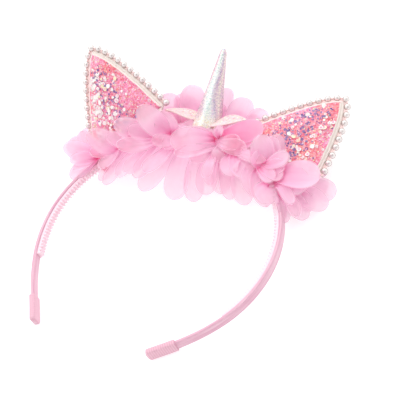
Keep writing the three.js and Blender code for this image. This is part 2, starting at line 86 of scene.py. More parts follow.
# Petals: arc of the root, knee (x, y, z), tip (x, y, z) and width, in mm of the band's frame, and
# paleness, which is how sheer and pale the petal is at its tip. A low paleness also deepens the
# petal's pink all along, partly as painted shade for petals that lie in shade.
FRONT_PETALS = [
    # left end
    (-62, -57, -27, 4, -66, -19, 11, 8, 0.7),
    (-62, -55, -28, 6, -66, -33, 16, 11, 0.7),
    (-62, -53, -30, 8, -59, -38, 14, 8, 0.7),
    (-62, -55, -30, 5, -62, -42, 3, 8, 0.7),
    (-62, -53, -32, 8, -56, -41, 11, 5, 0.7),
    (-50, -42, -22, 9, -51, -27, 24, 12, 0.86),
    (-54, -45, -23, 9, -49, -33, 15, 7, 0.95),
    (-42, -35, -19, 9, -42, -23, 21, 8, 0.74),
    (-50, -41, -23, 9, -43, -36, 11, 7, 1),
    # in front of the left ear
    (-33, -29, -13, 10, -40, -17, 24, 12, 0.74),
    (-20, -17, -11, 11, -28, -8, 30, 12, 0.74),
    (-27, -24, -11, 9, -34, -16, 20, 10, 0.7),
    (-20, -18, -8, 7, -20, -2, 12, 8, 0.62),
    (-17, -16, -6, 6, -16, 2, 7, 7, 0.62),
    (-16, -15, -7, 7, -13, 6, 5, 7, 0.62),
    (-18, -16, -9, 10, -10, -2, 11, 6, 0.62),
    # middle
    (6, 5, -6, 15, -5, -19, 23, 13, 0.85),
    (-13, -11, -13, 11, -18, -19, 20, 7, 0.9),
    (-26, -20, -17, 11, -32, -29, 23, 8, 1),
    (-31, -27, -13, 9, -34, -19, 17, 6, 0.85),
    (10, 8, -11, 12, -2, -23, 20, 7, 1.0),
    (11, 10, -10, 10, 2, -20, 12, 7, 1.0),
    (8, 8, -4, 15, 11, -0, 16, 5, 0.7),
    (11, 9, -10, 13, 15, -14, 8, 6, 1.0),
    (0, 12, -5, 13, 30, 6, 15, 11, 0.3),
    (2, 13, -9, 14, 26, -6, 12, 8, 1.15),
    (11, 21, -10, 13, 38, -9, 10, 6, 0.8),
    # hanging
    (-47, -38, -22, 7, -47, -38, 2, 6, 1),
    (-45, -35, -22, 8, -40, -41, 5, 7, 1),
    (-39, -30, -22, 9, -34, -36, 7, 8, 1),
    (-30, -22, -20, 10, -28, -35, 12, 8, 0.85),
    (-25, -19, -19, 11, -23, -35, 10, 9, 1),
    (-16, -12, -18, 12, -16, -34, 14, 8, 1),
    (-15, -12, -16, 8, -20, -38, 4, 11, 1),
    (-10, -7, -18, 9, -4, -35, -2, 12, 1),
    (-2, -1, -16, 8, 5, -32, -4, 10, 1),
    (10, 8, -15, 10, 13, -30, 2, 11, 1),
    (12, 9, -16, 12, 15, -26, 6, 7, 0.8),
    (12, 9, -17, 13, 14, -25, 9, 6, 1),
    (17, 14, -13, 9, 23, -26, -3, 8, 1),
    (14, 12, -13, 8, 18, -25, -2, 10, 1),
    (21, 18, -13, 12, 33, -16, 5, 10, 0.75),
    (26, 22, -13, 7, 30, -25, -6, 11, 1),
    (33, 28, -14, 10, 38, -23, 1, 10, 1),
    (37, 33, -14, 9, 43, -25, -2, 10, 1),
    (40, 37, -13, 7, 46, -22, -3, 7, 1),
    # right
    (38, 37, -10, 11, 35, -1, 20, 12, 0.62),
    (38, 38, -8, 9, 39, 2, 16, 10, 0.62),
    (37, 37, -7, 7, 39, 5, 13, 10, 0.62),
    (35, 42, -12, 13, 51, -6, 16, 8, 0.62),
    (33, 40, -14, 13, 50, -15, 10, 7, 0.6),
    (43, 51, -13, 13, 67, -10, 11, 14, 0.62),
    (52, 55, -11, 4, 68, -7, -7, 11, 0.8),
    (53, 54, -15, 7, 70, -17, -3, 11, 0.8),
    (55, 54, -18, 8, 64, -26, -2, 10, 0.8),
    (55, 55, -18, 10, 62, -28, 2, 6, 1),
    (49, 48, -15, 11, 57, -31, 0, 6, 0.8),
    (51, 49, -15, 12, 59, -25, 7, 6, 0.6),
    (47, 55, -4, 1, 60, 3, -3, 8, 0.8),
    (51, 50, -14, 8, 60, -18, 2, 9, 0.7),
    (50, 44, -19, 11, 46, -28, 5, 12, 0.75),
]
BACK_PETALS = [
    (-62, -69, -22, -4, -78, -21, 1, 10, 0.62),
    (-61, -67, -17, -5, -75, -11, 0, 10, 0.62),
    (-54, -59, -12, -5, -68, -4, 2, 10, 0.62),
    (-48, -54, -6, -5, -62, 3, 1, 11, 0.62),
    (-42, -49, -1, -5, -55, 9, 1, 11, 0.62),
    (-36, -43, 4, -5, -48, 15, 1, 11, 0.62),
    (-29, -34, 7, -4, -37, 20, 2, 11, 0.62),
    (-23, -27, 10, -4, -31, 22, 2, 9, 0.62),
    (-19, -23, 12, -4, -26, 27, 3, 13, 0.62),
    (-13, -15, 14, -5, -17, 27, -1, 11, 0.62),
    (-6, -8, 15, -5, -8, 31, 1, 9, 0.62),
    (0, 1, 14, -5, 3, 29, -1, 13, 0.62),
    (9, 11, 13, -5, 14, 26, -3, 11, 0.62),
    (18, 21, 9, -5, 23, 23, -4, 11, 0.62),
    (26, 29, 5, -4, 33, 17, -4, 11, 0.62),
    (34, 37, 0, -3, 44, 9, -5, 11, 0.62),
    (42, 45, -4, -2, 54, 4, -5, 10, 0.62),
    (48, 52, -9, -2, 63, -4, -8, 10, 0.62),
]


# Places in the band's own frame, in mm: X right, Y to the crown, Z to the front
def unit(v):
    return v / np.linalg.norm(v, axis=-1, keepdims=True)


def smooth(x):
    x = np.clip(x, 0, 1)
    return x * x * (3 - 2 * x)


def circle(count):
    return 2 * np.pi * np.arange(count) / count


def run_along(line):
    """How far each point of a flat line is from its start, along it."""
    return np.concatenate([[0], np.cumsum(np.hypot(*np.diff(line, axis=0).T))])


def turn_at(arc):
    share = np.abs(arc) / HALF_ARC
    curl = np.where(np.asarray(arc) < 0, LEFT_CURL, RIGHT_CURL)
    bend = CROWN_BEND * share + SHOULDER_BEND * share**3 + TIP_BEND * share**5
    return -np.sign(arc) * (bend + curl * share**4)


# The strip's middle line, in small steps from past one tip to past the other
ARC_STEP, PAST_TIP = 0.1, 2.0
ARC_STEPS = round((HALF_ARC + PAST_TIP) / ARC_STEP)
ARCS = np.arange(-ARC_STEPS, ARC_STEPS + 1) * ARC_STEP
TURNS = turn_at((ARCS[1:] + ARCS[:-1]) / 2)
MIDDLE = np.concatenate([[[0, 0]], np.cumsum(np.stack([np.cos(TURNS), np.sin(TURNS)], 1), 0)])
MIDDLE = (MIDDLE - MIDDLE[ARC_STEPS]) * ARC_STEP


def place(arc, out, front):
    """Points by their arc along the strip, and how far out of it and to the front they are."""
    turn = turn_at(arc)
    x = np.interp(arc, ARCS, MIDDLE[:, 0]) - np.sin(turn) * out
    y = np.interp(arc, ARCS, MIDDLE[:, 1]) + np.cos(turn) * out
    return np.stack(np.broadcast_arrays(x, y, front), -1)


def station(arc):
    turn = float(turn_at(arc))
    c, s = math.cos(turn), math.sin(turn)
    x, y, _ = place(arc, 0.0, 0.0)
    return np.array([[c, -s, 0, x], [s, c, 0, y], [0, 0, 1, 0], [0, 0, 0, 1.0]])


def turned(axis, angle):
    """A turn in degrees about an axis: 0 for x, 1 for y and 2 for z."""
    c, s = math.cos(angle * DEG), math.sin(angle * DEG)
    i, j = [(1, 2), (2, 0), (0, 1)][axis]
    m = np.eye(4)
    m[i, i] = m[j, j] = c
    m[i, j], m[j, i] = -s, s
    return m


def moved(x, y, z):
    m = np.eye(4)
    m[:3, 3] = x, y, z
    return m


def stand(arc, tilt, lean, twist, shift):
    """The frame of what stands on the strip, an ear or the horn."""
    turn = turned(2, tilt) @ turned(0, lean) @ turned(1, twist)
    foot = station(arc) @ moved(0, BAND_THICKNESS / 2, 0)
    return foot @ turn @ moved(shift * EAR_HALF_BASE, 0, 0)


def through(matrix, points):
    return points @ matrix[:3, :3].T + matrix[:3, 3]


TIP_REACH = -min(place(end, 0.0, 0.0)[1] for end in (-HALF_ARC, HALF_ARC))
TILT = math.asin((CROWN_HEIGHT - BAND_WIDTH / 2 - CAP_PROUD) / TIP_REACH)
LAID = moved(0, 0, CROWN_HEIGHT) @ turned(0, TILT / DEG)


def surface_under(y):
    """The surface that the headband lies on, as the height where it passes under y."""
    return -(CROWN_HEIGHT + y * math.sin(TILT)) / math.cos(TILT)


# Meshes
class Build:
    """Points in the band's frame, faces and what goes with them, joined into one piece."""

    def __init__(self):
        self.points, self.faces, self.slots, self.marks = [], [], [], []
        self.count = 0

    def add(self, points, faces, slot=0, shade=0.0, across=0.0, along=0.0):
        """slot is one for all faces or one for each. The rest are one for all points, or fit
        the grid of points."""
        points = np.asarray(points, float)
        marks = [np.broadcast_to(m, points.shape[:-1]).ravel() for m in (shade, across, along)]
        self.points.append(points.reshape(-1, 3))
        self.marks.append(np.stack(marks, 1))
        self.faces += [[int(i) + self.count for i in face] for face in faces]
        self.slots += np.broadcast_to(slot, len(faces)).tolist()
        self.count += points.size // 3

    def tube(self, rings, slot=0, shade=0.0, across=0.0, along=0.0):
        """A closed body through rings, an array of rings by points by 3."""
        rows, columns = rings.shape[:2]
        last = (rows - 1) * columns
        ends = np.array([np.arange(columns)[::-1], np.arange(last, last + columns)])
        parts = [grid_faces(rows, columns, True), ends]
        if sum(volume(rings.reshape(-1, 3), part) for part in parts) < 0:
            parts = [part[:, ::-1] for part in parts]
        self.add(rings, [face for part in parts for face in part], slot, shade, across, along)

    def piece(self, name, materials, replaces=(), weld=False, flat=False):
        mesh = bpy.data.meshes.new(name)
        points = through(LAID, np.concatenate(self.points)) * MM
        mesh.from_pydata(points.tolist(), [], self.faces)
        for material in materials:
            mesh.materials.append(material)
        mesh.polygons.foreach_set("material_index", self.slots)
        if not flat:
            mesh.polygons.foreach_set("use_smooth", [True] * len(self.faces))
        marks = np.concatenate(self.marks).astype(np.float32)
        for k, mark in enumerate(("shade", "across", "along")):
            values = mesh.attributes.new(mark, "FLOAT", "POINT").data
            values.foreach_set("value", marks[:, k].copy())
        mesh.validate()
        mesh.update()
        o = bpy.data.objects.new(name, mesh)
        bpy.context.scene.collection.objects.link(o)
        if weld:
            o.modifiers.new("weld", "WELD").merge_threshold = WELD_GAP * MM
        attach(o, "root")
        if replaces:
            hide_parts(*replaces)
        return o


def grid_faces(rows, columns, around=False):
    span = columns if around else columns - 1
    i, j = np.meshgrid(np.arange(rows - 1), np.arange(span), indexing="ij")
    a, b = i * columns + j, i * columns + (j + 1) % columns
    return np.stack([a, b, b + columns, a + columns], -1).reshape(-1, 4)


def volume(points, faces):
    """What faces with the same number of corners add to six times a body's volume."""
    first, rest = points[faces[:, 0]], points[faces[:, 1:]]
    return float((np.cross(rest[:, :-1], rest[:, 1:]) * first[:, None]).sum())


# Materials
def rgb(red, green, blue):
    """A colour as a screen shows it, from 0 to 255, in linear light."""
    c = np.array([red, green, blue]) / 255
    return tuple(float(x) for x in np.where(c <= 0.04045, c / 12.92, ((c + 0.055) / 1.055) ** 2.4))


class Look:
    """A material, with short names for the nodes that feed its shader."""

    def __init__(self, name, color, roughness, **inputs):
        self.material = bpy.data.materials.new(name)
        self.material.use_nodes = True
        self.tree = self.material.node_tree
        self.shader = self.tree.nodes["Principled BSDF"]
        self.out = self.tree.nodes["Material Output"]
        self.shader.inputs["Base Color"].default_value = (*color, 1)
        self.shader.inputs["Roughness"].default_value = roughness
        for key, value in inputs.items():
            self.shader.inputs[key.replace("_", " ")].default_value = value

    def node(self, kind, links=(), **settings):
        n = self.tree.nodes.new("ShaderNode" + kind)
        for key, value in settings.items():
            if key in n.inputs:
                n.inputs[key].default_value = value
            else:
                setattr(n, key, value)
        for socket, source in dict(links).items():
            self.tree.links.new(source, n.inputs[socket])
        return n

    def place(self):
        """Coordinates in mm."""
        at = self.node("TexCoord").outputs["Object"]
        return self.node("Mapping", {"Vector": at}, Scale=(1 / MM,) * 3).outputs["Vector"]

    def noise(self, scale, detail):
        n = self.node("TexNoise", {"Vector": self.place()}, Scale=scale, Detail=detail)
        return n.outputs["Fac"]

    def cells(self, scale, output="Color"):
        n = self.node("TexVoronoi", {"Vector": self.place()}, Scale=scale)
        return n.outputs[output]

    def ramp(self, factor, stops, mode="LINEAR"):
        n = self.node("ValToRGB", {"Fac": factor})
        n.color_ramp.interpolation = mode
        while len(n.color_ramp.elements) < len(stops):
            n.color_ramp.elements.new(0.5)
        for e, (at, value) in zip(n.color_ramp.elements, stops):
            e.position = at
            e.color = (*value, 1) if np.size(value) == 3 else (value, value, value, 1)
        return n.outputs["Color"]

    def mix(self, factor, a, b, blend="MIX"):
        n = self.node("Mix", data_type="RGBA", blend_type=blend)
        for socket, value in ((n.inputs[0], factor), (n.inputs[6], a), (n.inputs[7], b)):
            if isinstance(value, bpy.types.NodeSocket):
                self.tree.links.new(value, socket)
            else:
                socket.default_value = (*value, 1) if np.size(value) == 3 else value
        return n.outputs[2]

    def mark(self, name="shade"):
        """What the mesh's points carry under this name."""
        return self.node("Attribute", attribute_name=name).outputs["Fac"]

    def fibres(self, across, along, detail):
        """Noise drawn out along a piece, with its scales per mm across and along."""
        at = self.node("CombineXYZ", {0: self.mark("across"), 1: self.mark("along")}).outputs[0]
        spread_out = self.node("Mapping", {"Vector": at}, Scale=(across, along, 1)).outputs["Vector"]
        return self.node("TexNoise", {"Vector": spread_out}, Scale=1.0, Detail=detail).outputs["Fac"]

    def color(self, source):
        self.tree.links.new(source, self.shader.inputs["Base Color"])
        return self

    def bump(self, height, strength, distance):
        n = self.node("Bump", {"Height": height}, Strength=strength, Distance=distance * MM)
        self.tree.links.new(n.outputs["Normal"], self.shader.inputs["Normal"])
        return n.outputs["Normal"]

    def surface(self, shader):
        self.tree.links.new(shader.outputs[0], self.out.inputs["Surface"])


def ribbon_look():
    look = Look("ribbon", rgb(240, 190, 212), 0.38, Sheen_Weight=0.2, Sheen_Roughness=0.4)
    streaks = look.fibres(1.4, 0.05, 4)
    satin = [(0.3, rgb(216, 158, 182)), (0.5, rgb(224, 175, 194)), (0.7, rgb(233, 194, 208))]
    # Painted shade: darker pink along the line where the ribbon's edge lies over the inner face.
    look.color(look.mix(look.mark(), look.ramp(streaks, satin), rgb(214, 130, 162)))
    look.bump(look.mix(0.35, streaks, look.fibres(0.6, 0.5, 4)), 0.35, 0.3)
    return look.material


def grosgrain_look():
    look = Look("grosgrain", rgb(238, 180, 202), 0.7, Sheen_Weight=0.2)
    tint = look.ramp(look.noise(2.4, 4), [(0.3, rgb(218, 160, 180)), (0.7, rgb(227, 174, 191))])
    # Painted highlight: paler colour where the mark is high, on the crests of the cap's ribs.
    look.color(look.mix(look.mark(), tint, rgb(242, 204, 217)))
    look.bump(look.noise(9, 2), 0.5, 0.1)
    return look.material


def grip_look():
    # Painted light: the emission is a glow that lifts the shade between the teeth, and the pinker colour
    # where the mark is low is painted shade there.
    look = Look("grip", rgb(240, 222, 227), 0.4, Sheen_Weight=0.1, Emission_Strength=0.1,
                Emission_Color=(*rgb(252, 206, 222), 1))
    tint = [(0.0, rgb(246, 212, 224)), (0.3, rgb(243, 214, 224)), (1.0, rgb(240, 220, 228))]
    look.color(look.ramp(look.mark(), tint)).bump(look.noise(3, 3), 0.15, 0.1)
    return look.material


def felt_look():
    look = Look("felt", rgb(212, 202, 196), 0.85, Sheen_Weight=0.3)
    tint = look.ramp(look.noise(2, 5), [(0.3, rgb(236, 222, 214)), (0.7, rgb(245, 236, 230))])
    look.color(tint).bump(look.noise(7, 4), 0.4, 0.12)
    return look.material


def glitter_ground_look():
    """Coral and pink grains in patches, with darker seams between them."""
    look = Look("glitter_ground", rgb(240, 120, 150), 0.4, Specular_IOR_Level=0.6)
    grain = 1.15
    cells = look.cells(grain)
    pink = look.ramp(cells, [
        (0.0, rgb(238, 120, 166)), (0.25, rgb(244, 150, 192)), (0.5, rgb(250, 184, 214)),
        (0.75, rgb(242, 136, 168)), (0.92, rgb(254, 214, 226))], "CONSTANT")
    coral = look.ramp(cells, [
        (0.0, rgb(234, 92, 118)), (0.25, rgb(244, 128, 142)), (0.5, rgb(250, 164, 160)),
        (0.75, rgb(240, 110, 132)), (0.9, rgb(254, 204, 170))], "CONSTANT")
    tint = look.mix(look.ramp(look.noise(0.07, 2), [(0.42, 0.0), (0.6, 1.0)]), pink, coral)
    edge = look.node("TexVoronoi", {"Vector": look.place()}, feature="DISTANCE_TO_EDGE", Scale=grain)
    dark_line = look.ramp(edge.outputs["Distance"], [(0.0, 0.7), (0.09, 0.0)])
    look.color(look.mix(dark_line, tint, rgb(226, 90, 124)))
    look.bump(cells, 0.5, 0.25)
    return look.material


def flake_look(name, dark, light):
    look = Look(name, light, 0.3, Coat_Weight=0.35, Coat_Roughness=0.15)
    look.color(look.ramp(look.cells(0.8), [(0.15, dark), (0.85, light)]))
    look.bump(look.noise(4, 2), 0.15, 0.1)
    return look.material


def pearl_look():
    """Lacquered pearl, with painted shade: a darker gloss towards its rim, where it is seen at a slant.
    """
    look = Look("pearl", rgb(224, 216, 214), 0.12, Metallic=0.4, Coat_Weight=0.5, Coat_Roughness=0.05)
    look.color(look.ramp(look.noise(0.5, 2), [(0.35, rgb(228, 220, 218)), (0.65, rgb(238, 233, 231))]))
    # Painted shade: this darker gloss is mixed in towards the rim, by how slantwise the surface is seen.
    gloss = look.node("BsdfGlossy", Color=(*rgb(190, 178, 175), 1), Roughness=0.3)
    facing = look.node("LayerWeight", Blend=0.5).outputs["Facing"]
    rim = look.ramp(facing, [(0.36, 0.0), (0.6, 1.0)])
    look.surface(look.node("MixShader", {0: rim, 1: look.shader.outputs[0], 2: gloss.outputs[0]}))
    return look.material


def tape_look():
    # Painted light: the emission is a glow that lifts the tape's shade under the pearls.
    look = Look("tape", rgb(250, 226, 222), 0.6, Sheen_Weight=0.3, Emission_Strength=0.1,
                Emission_Color=(*rgb(252, 222, 216), 1))
    tint = look.ramp(look.noise(1.8, 4), [(0.3, rgb(248, 214, 214)), (0.7, rgb(252, 232, 229))])
    look.color(tint).bump(look.noise(7, 3), 0.4, 0.1)
    return look.material


def horn_look():
    """Iridescent foil: bands of colour round the horn, dots, and pale grains at its foot. The bands
    are partly the foil's own colours and partly painted light: the pale mint ones a painted
    highlight, the darker pink ones painted shade.
    """
    look = Look("iridescent", rgb(225, 220, 222), 0.3, Metallic=0.3, Coat_Weight=0.5, Coat_Roughness=0.15)
    # Painted highlight and shade: the pale mint bands and the darker pink bands are laid round the horn
    # as light and shade.
    film_and_painted_light = look.ramp(look.mark(), [
        (0.0, rgb(204, 152, 170)), (0.05, rgb(212, 170, 184)), (0.13, rgb(232, 216, 202)),
        (0.21, rgb(214, 180, 194)), (0.27, rgb(184, 164, 190)), (0.33, rgb(218, 208, 220)),
        (0.39, rgb(230, 242, 234)), (0.48, rgb(208, 230, 220)), (0.56, rgb(228, 228, 224)),
        (0.64, rgb(210, 170, 184)), (0.72, rgb(200, 148, 168)), (1.0, rgb(204, 152, 170))])
    grain = 1.9
    cells = look.cells(grain)
    dots = look.ramp(cells, [
        (0.0, rgb(150, 186, 188)), (0.2, rgb(228, 214, 218)), (0.45, rgb(156, 136, 180)),
        (0.62, rgb(238, 232, 216)), (0.82, rgb(214, 150, 172))], "CONSTANT")
    foot = look.ramp(look.mark("along"), [(0.0, 0.7), (0.15, 0.7), (0.26, 0.0)])
    grains = look.ramp(cells, [
        (0.0, rgb(250, 244, 226)), (0.35, rgb(236, 206, 190)), (0.5, rgb(254, 250, 240)),
        (0.75, rgb(238, 226, 178)), (0.88, rgb(236, 188, 196))], "CONSTANT")
    look.color(look.mix(foot, look.mix(0.36, film_and_painted_light, dots), grains))
    gloss = look.ramp(cells, [(0.0, 0.18), (1.0, 0.45)])
    look.tree.links.new(gloss, look.shader.inputs["Roughness"])
    look.bump(look.cells(grain, "Distance"), 0.4, 0.2)
    return look.material


def fine_glitter_look():
    look = Look("fine_glitter", rgb(246, 206, 216), 0.45, Sheen_Weight=0.2)
    grain = 1.5
    grains = look.ramp(look.cells(grain), [
        (0.0, rgb(232, 176, 186)), (0.25, rgb(244, 206, 212)), (0.5, rgb(238, 212, 200)),
        (0.7, rgb(248, 222, 224)), (0.86, rgb(255, 246, 226))], "CONSTANT")
    look.color(look.mix(look.mark(), grains, rgb(252, 230, 228)))
    look.bump(look.cells(grain, "Distance"), 0.8, 0.3)
    return look.material


def chiffon_look():
    """Sheer cloth: each layer tints the light that passes, so layers build up a deeper pink.
    Its mark goes from 0 at the root to about 0.7 at the tip, and to 1 along the hem. Near the root
    the pink deepens, partly as denser gathered cloth and partly as painted shade where the petals
    meet, and a painted glow lifts that shade. Along the creases the colour is painted a little
    pinker as shade."""
    look = Look("chiffon", rgb(250, 190, 220), 0.75, Sheen_Weight=0.2, Sheen_Roughness=0.5,
                Emission_Strength=0.2)
    pink = np.array(rgb(238, 88, 158))
    # Painted glow: the roots give out pink light that lifts their shade.
    painted_glow = look.ramp(look.mark(), [(0.0, pink), (0.12, 0.55 * pink), (0.3, 0.13 * pink)])
    look.tree.links.new(painted_glow, look.shader.inputs["Emission Color"])
    # Deep pink at the root, paling to the tip: partly denser gathered cloth, partly painted shade where
    # the petals meet.
    tint = look.ramp(look.mark(), [
        (0.0, rgb(236, 68, 134)), (0.1, rgb(241, 136, 186)), (0.22, rgb(247, 196, 224)),
        (0.4, rgb(249, 216, 234)), (0.7, rgb(249, 229, 238)), (0.8, rgb(254, 222, 236))])
    patches = look.ramp(look.noise(0.12, 3), [(0.35, 0.0), (0.7, 0.2)])
    tint = look.mix(patches, tint, rgb(255, 238, 248))
    creases = look.fibres(1.1, 0.07, 4)
    # Painted shade: the colour is a little pinker along the creases.
    painted_crease_shade = look.ramp(creases, [(0.35, 0.0), (0.65, 0.35)])
    tint = look.mix(painted_crease_shade, tint, rgb(255, 240, 249), "MULTIPLY")
    look.color(tint)
    normal = look.bump(creases, 0.45, 0.35)
    back = look.node("BsdfTranslucent", {"Color": tint, "Normal": normal})
    cloth = look.node("MixShader", {1: look.shader.outputs[0], 2: back.outputs[0]}, Fac=0.32)
    clear = look.node("BsdfTransparent", Color=(*rgb(254, 233, 242), 1))
    body = look.ramp(look.mark(), [(0.0, 1.0), (0.4, 0.86), (0.52, 0.52), (0.7, 0.26), (0.8, 0.88)])
    look.surface(look.node("MixShader", {0: body, 1: clear.outputs[0], 2: cloth.outputs[0]}))
    return look.material


RIBBON, GROSGRAIN, GRIP = ribbon_look(), grosgrain_look(), grip_look()
FELT, GROUND, PEARL, TAPE = felt_look(), glitter_ground_look(), pearl_look(), tape_look()
IRIDESCENT, FINE_GLITTER = horn_look(), fine_glitter_look()
CHIFFON = chiffon_look()
FLAKES = [
    flake_look("flake_white", rgb(240, 226, 226), rgb(250, 247, 242)),
    flake_look("flake_yellow", rgb(244, 226, 186), rgb(240, 234, 206)),
    flake_look("flake_violet", rgb(104, 70, 140), rgb(160, 124, 178)),
    flake_look("flake_coral", rgb(240, 104, 130), rgb(248, 150, 152)),
    flake_look("flake_pink", rgb(246, 150, 186), rgb(252, 196, 216)),
]


# Strip, caps and grip. Each is a tube: arcs along it by points round its section.
def rounded(width, thickness, corner, points):
    """Out and front of a rounded rectangle's outline, anticlockwise from the front edge."""
    turn = np.linspace(0, np.pi / 2, points) + np.pi / 2 * np.arange(4)[:, None]
    sides = np.array([(1, 1), (-1, 1), (-1, -1), (1, -1)])
    out = sides[:, :1] * (thickness / 2 - corner) + corner * np.cos(turn)
    front = sides[:, 1:] * (width / 2 - corner) + corner * np.sin(turn)
    return out.ravel(), front.ravel()


def wrapped_band():
    """Satin ribbon folded lengthwise round the strip, its edge laid over along the inner face."""
    sides = 56
    out, front = rounded(BAND_WIDTH - 2 * WRAP_MARGIN, BAND_THICKNESS - 2 * WRAP_MARGIN, 0.6, 9)
    out, front = np.append(out, out[0]), np.append(front, front[0])
    run = run_along(np.stack([out, front], 1))
    around = np.linspace(0, run[-1], sides + 1)[:-1]
    out, front = np.interp(around, run, out), np.interp(around, run, front)
    reach = HALF_ARC - CAP_LENGTH + WRAP_IN_CAP
    arcs = np.linspace(-reach, reach, 2 * round(reach / WRAP_STEP) + 1)[:, None]
    inner = smooth((-out - 0.5) / 0.3)
    fold = FOLD_AT + FOLD_SWAY * np.sin(0.21 * arcs) - front
    overlap = inner * smooth(fold / 0.15) * smooth((front + 1) / 2)
    waves = 0.03 * np.sin(0.5 * arcs + 0.5 * around) + 0.02 * np.sin(1.3 * arcs - 0.7 * around)
    waves = waves + 0.015 * np.sin(2.9 * arcs + 2 * front)
    rise = FOLD_RISE * overlap + waves * (0.4 + 0.6 * inner)
    length = np.hypot(out / (BAND_THICKNESS / 2), front / (BAND_WIDTH / 2))
    rings = place(arcs, out * (1 + rise / length / 2), front * (1 + rise / length / 4))
    # Painted shade: a thin darker line along the ribbon's laid-over edge, carried by the mark.
    dark_line = inner * np.exp(-((fold / 0.22) ** 2))
    b = Build()
    b.tube(rings, 0, 0.8 * dark_line, around, arcs)
    b.piece("band_wrapped", [RIBBON], ["band"])


def grip_strip():
    """Low comb along the middle of the inner face, with its teeth across."""
    end = HALF_ARC - COMB_END
    arcs = np.arange(-end, end + 0.01, RIB_PITCH / 8)[:, None]
    top, base = 0.05 - BAND_THICKNESS / 2, COMB_BASE + FIT_GAP
    profile = [
        # depth under the top, share of the half width and share of a tooth's height
        (0, 1, 0),
        (0, -1, 0),
        (0.45, -1, 0),
        (0.8, -0.93, 0.25),
        (base, -0.8, 0.8),
        (base, -0.4, 1),
        (base, 0, 1),
        (base, 0.4, 1),
        (base, 0.8, 0.8),
        (0.8, 0.93, 0.25),
        (0.45, 1, 0),
    ]
    depth, share, raised = np.array(profile).T
    tooth = np.sin(np.pi * (((arcs + end) / RIB_PITCH) % 1)) ** 2.4
    out = top - depth - (RIB_HEIGHT + 0.4) * tooth * raised
    b = Build()
    # Painted shade: the mark is low between the teeth, where the grip look paints a pinker colour.
    shade = np.where(raised > 0, 0.15 + 0.85 * tooth * raised, 0.3)
    b.tube(place(arcs, out, share * COMB_WIDTH / 2), 0, shade)
    b.piece("grip_teeth", [GRIP], ["comb_strip"])


def ribbed_cap(name, side):
    """Ribbed ribbon folded over the tip, with a raw edge where it starts."""
    start = HALF_ARC - CAP_LENGTH
    arcs = np.arange(start, HALF_ARC + 0.01, 0.1)
    arcs = np.concatenate([[start + 0.02], arcs, [HALF_ARC + 0.02]])[:, None]
    size = np.sqrt(1 - 0.75 * np.clip((arcs - HALF_ARC + CAP_ROUND) / CAP_ROUND, 0, 1) ** 2.6)
    size[0] = CAP_RAW_EDGE
    rib = np.abs(np.sin(np.pi * (arcs - start) / CAP_RIB_PITCH))
    proud = 2 * (CAP_PROUD - WRAP_MARGIN)
    out, front = rounded(BAND_WIDTH + proud, BAND_THICKNESS + proud, 0.8, 6)
    rings = place(side * arcs, out * size * (1 + 0.03 * rib), front * size * (1 + 0.016 * rib))
    b = Build()
    # The mark is high on the rib crests, which the grosgrain look paints paler as a highlight.
    b.tube(rings, 0, 0.55 * rib**2)
    b.piece(f"cap_ribbed_{name}", [GROSGRAIN], [f"cap_{name}"])


# Ears, each in its own frame: x to the right, y up to the apex, z to the front
def ear_half(drop):
    """Half the ear's width at a drop from its apex, as a share of its height."""
    return EAR_HALF_BASE * np.clip(drop, 0, None) ** EAR_POWER


def ear_side(count, depth=1.05):
    """The line of the pearls on the right, from the apex down."""
    drop = depth * np.linspace(0, 1, count) ** 1.6
    return np.stack([ear_half(drop), EAR_HEIGHT * (1 - drop)], 1)


def mirrored(side):
    """A right side from the apex down, with its mirror image before it."""
    return np.concatenate([side[:0:-1] * [-1, 1], side])


def right_of(along):
    return np.stack([along[:, 1], -along[:, 0]], 1)


def inset_side(inset):
    """The right side of the pearls' line moved inwards, from the apex down."""
    line = ear_side(400)
    before = np.concatenate([[line[1] * [-1, 1]], line[:-1]])
    after = np.concatenate([line[1:], line[-1:]])
    inner = line + inset * right_of(unit(after - before))
    inner[0] = [0, EAR_HEIGHT - inset]
    keep = (inner[:, 0] >= 0) & (inner[:, 1] <= EAR_HEIGHT - inset)
    return inner[keep & (run_along(line) <= PEARL_PITCH * PEARLS_A_SIDE)]


def ear_distance(points):
    """How far points of the ear's plane are inside the line of the pearls."""
    line = mirrored(ear_side(400, 1.3))
    found = np.empty(len(points))
    for k in range(0, len(points), 2000):
        part = points[k:k + 2000]
        found[k:k + 2000] = np.sqrt(((part[:, None] - line[None]) ** 2).sum(-1).min(1))
    return found


def foot_line(matrix):
    """For places across the ear, the lowest y that is clear of the strip."""
    arcs = np.arange(-90, 90, 0.5)
    middle, turns = place(arcs, 0.0, 0.0)[:, :2], turn_at(arcs)
    xs = np.linspace(-36, 36, 73)
    low = []
    for x in xs:
        y = 0.0
        for _ in range(12):
            point = through(matrix, np.array([x, y, 0.0]))[:2]
            k = int(np.hypot(*(middle - point).T).argmin())
            out = (point - middle[k]) @ [-math.sin(turns[k]), math.cos(turns[k])]
            y -= (out - BAND_THICKNESS / 2 - SEAT_GAP) * 0.8
        low.append(np.clip(y, -3, 12))
    return xs, np.array(low)


